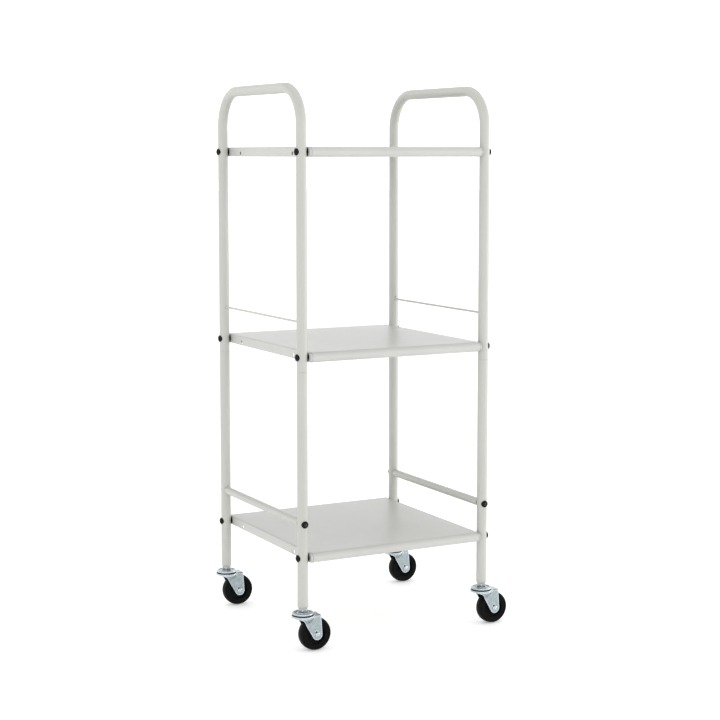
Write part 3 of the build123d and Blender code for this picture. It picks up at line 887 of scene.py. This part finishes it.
def add_dome_screw(builder, place, shank_end):
    """A domed head with a hexagon socket, and its plain shank down to shank_end. The seat is at z = 0."""
    sphere_r = (HEAD_R ** 2 + HEAD_HEIGHT ** 2) / (2 * HEAD_HEIGHT)
    socket_floor = HEAD_HEIGHT - SOCKET_DEPTH

    def dome_height(radius):
        return math.sqrt(sphere_r ** 2 - radius ** 2) - (sphere_r - HEAD_HEIGHT)

    def socket(turn):
        return hexagon_reach(turn, SOCKET_FLATS)

    def mouth(turn):
        return socket(turn) + SOCKET_BEVEL

    rings = [
        (lambda turn: socket(turn) - 0.6, steady(socket_floor)),
        (socket, steady(socket_floor + 0.08)),
        (socket, lambda turn: dome_height(socket(turn)) - 0.16),
        (mouth, lambda turn: dome_height(mouth(turn))),
    ]
    rings += [(steady(radius), steady(dome_height(radius))) for radius in (2.9, 3.5, 4.1, 4.6, 5.0)]
    rings += [
        (steady(HEAD_R - 0.03), steady(0.30)),
        (steady(HEAD_R), steady(0.12)),
        (steady(HEAD_R - 0.1), steady(0.0)),
        (steady(BOLT_R), steady(0.0)),
        (steady(BOLT_R), steady(shank_end + 0.4)),
        (steady(BOLT_R - 0.4), steady(shank_end)),
    ]
    domed_rings(builder, rings, place, segments=48)


def add_saddle(builder, place, outer):
    """A washer built about the tube's axis, which is Y: flat outside and hollowed to the tube inside."""
    turns = full_turn(64)

    def hollow(radius, turn):
        return math.sqrt(WASHER_TUBE_R ** 2 - (radius * math.cos(turn)) ** 2)

    top = [
        (WASHER_BORE_R, WASHER_FLAT - 0.1),
        (WASHER_BORE_R + 0.1, WASHER_FLAT),
        (outer - 0.35, WASHER_FLAT),
        (outer - 0.1, WASHER_FLAT - 0.1),
        (outer, WASHER_FLAT - 0.35),
    ]
    rows = [[turned(r, t, max(z, hollow(r, t) + 0.05)) for t in turns] for r, z in top]
    for radius in (outer, outer - 0.8, (outer + WASHER_BORE_R) / 2, WASHER_BORE_R):
        rows.append([turned(radius, t, hollow(radius, t)) for t in turns])
    lattice(builder, [[place @ point for point in row] for row in rows], wrap_rows=True, wrap_columns=True)


def hardware():
    """The shelf and crossbar screws and their saddle washers, each kind as one piece."""
    heads = bmesh.new()
    outer_washers = bmesh.new()
    inner_washers = bmesh.new()
    bar_heads = bmesh.new()
    bar_washers = bmesh.new()
    seat = Matrix.Translation((0, 0, HEAD_SEAT))
    for side, outward in (("left", -1), ("right", 1)):
        for end, away in (("front", -1), ("rear", 1)):
            leg = leg_axis(end, side)
            for shelf in ("bottom", "middle", "top"):
                low, high = millimetres(f"{shelf}_shelf")
                at = Matrix.Translation((leg.x, leg.y, (low.z + high.z) / 2))
                out = facing((outward, 0, 0))
                add_dome_screw(heads, at @ out @ seat, -2 * HEAD_SEAT - SHELF_BOLT_TAIL)
                add_saddle(outer_washers, at @ out, OUTSIDE_WASHER_R)
                add_saddle(inner_washers, at @ facing((-outward, 0, 0)), INSIDE_WASHER_R)
            low, high = millimetres(f"{side}_crossbar")
            at = Matrix.Translation((leg.x, leg.y, (low.z + high.z) / 2)) @ facing((0, away, 0))
            add_dome_screw(bar_heads, at @ seat, -HEAD_SEAT - CROSSBAR_BOLT_REACH)
            add_saddle(bar_washers, at, OUTSIDE_WASHER_R)
    finished("shelf_screws", heads, "black_bolts", "frame", "shelf_bolts", sharp=30)
    finished("shelf_washers_outside", outer_washers, "black_nylon", "frame", "shelf_outer_washers")
    finished("shelf_washers_inside", inner_washers, "black_nylon", "frame", "shelf_inner_washers")
    finished("rail_screws", bar_heads, "black_bolts", "frame", "crossbar_bolts", sharp=30)
    finished("rail_washers", bar_washers, "black_nylon", "frame", "crossbar_washers")


hardware()


# ---- Floor, light and camera ----


def floor():
    """A wide round floor that only the pictures show."""
    builder = bmesh.new()
    bmesh.ops.create_circle(builder, cap_ends=True, segments=96, radius=FLOOR_R)
    piece = loose_object("floor", builder)
    piece.location.z = -FLOOR_DROP
    piece.data.materials.append(pale_floor("pale_floor", FLOOR_WHITE))


def studio_world():
    """White all round, with a brighter band low in front that lights the space between the shelves."""
    world = bpy.data.worlds.new("studio")
    bpy.context.scene.world = world
    world.use_nodes = True
    tree = world.node_tree

    def ranged(source, low, high, span):
        """low to high, changing smoothly while source goes through span."""
        node = tree.nodes.new("ShaderNodeMapRange")
        node.interpolation_type = "SMOOTHSTEP"
        start, end = span
        for socket, value in (("From Min", start), ("From Max", end), ("To Min", low), ("To Max", high)):
            node.inputs[socket].default_value = value
        tree.links.new(source, node.inputs["Value"])
        return node.outputs["Result"]

    direction = tree.nodes.new("ShaderNodeTexCoord").outputs["Generated"]
    split = tree.nodes.new("ShaderNodeSeparateXYZ")
    tree.links.new(direction, split.inputs["Vector"])
    ahead = tree.nodes.new("ShaderNodeVectorMath")
    ahead.operation = "DOT_PRODUCT"
    ahead.inputs[1].default_value = BAND_DIRECTION
    tree.links.new(direction, ahead.inputs[0])
    base = ranged(split.outputs["Z"], WORLD_HORIZON, WORLD_ZENITH, WORLD_FADE)
    low_band = ranged(split.outputs["Z"], BAND_BOOST, 0.0, BAND_FADE)
    towards_front = ranged(ahead.outputs["Value"], 0.0, 1.0, BAND_WIDTH)
    strength = tree.nodes.new("ShaderNodeMath")
    strength.operation = "MULTIPLY_ADD"
    tree.links.new(low_band, strength.inputs[0])
    tree.links.new(towards_front, strength.inputs[1])
    tree.links.new(base, strength.inputs[2])
    background = tree.nodes["Background"]
    tree.links.new(strength.outputs["Value"], background.inputs["Strength"])
    background.inputs["Color"].default_value = colour((1.0, 1.0, 1.0))


def softbox(name, place, aim, size, power, tint=(1.0, 1.0, 1.0)):
    """A square area light at place that shines towards aim."""
    data = bpy.data.lights.new(name, "AREA")
    data.shape = "SQUARE"
    data.size = size
    data.energy = power
    data.color = tint
    lamp = bpy.data.objects.new(name, data)
    lamp.location = place
    lamp.rotation_euler = (Vector(aim) - Vector(place)).to_track_quat("-Z", "Y").to_euler()
    bpy.context.scene.collection.objects.link(lamp)


def camera():
    """The photo's viewpoint: turned to the right of +Y by the yaw and tilted down by the pitch."""
    data = bpy.data.cameras.new("camera")
    data.sensor_width = CAMERA_SENSOR
    data.lens = CAMERA_LENS
    data.shift_y = CAMERA_SHIFT
    data.clip_end = CAMERA_REACH
    lens = bpy.data.objects.new("camera", data)
    lens.location = CAMERA_PLACE
    lens.rotation_euler = (math.radians(90 - CAMERA_PITCH), 0, math.radians(-CAMERA_YAW))
    bpy.context.scene.collection.objects.link(lens)
    bpy.context.scene.camera = lens


floor()
studio_world()
softbox("key", KEY_PLACE, KEY_AIM, KEY_SIZE, KEY_POWER, KEY_TINT)
softbox("top", TOP_PLACE, TOP_AIM, TOP_SIZE, TOP_POWER)
camera()
bpy.context.scene.view_settings.view_transform = "Standard"
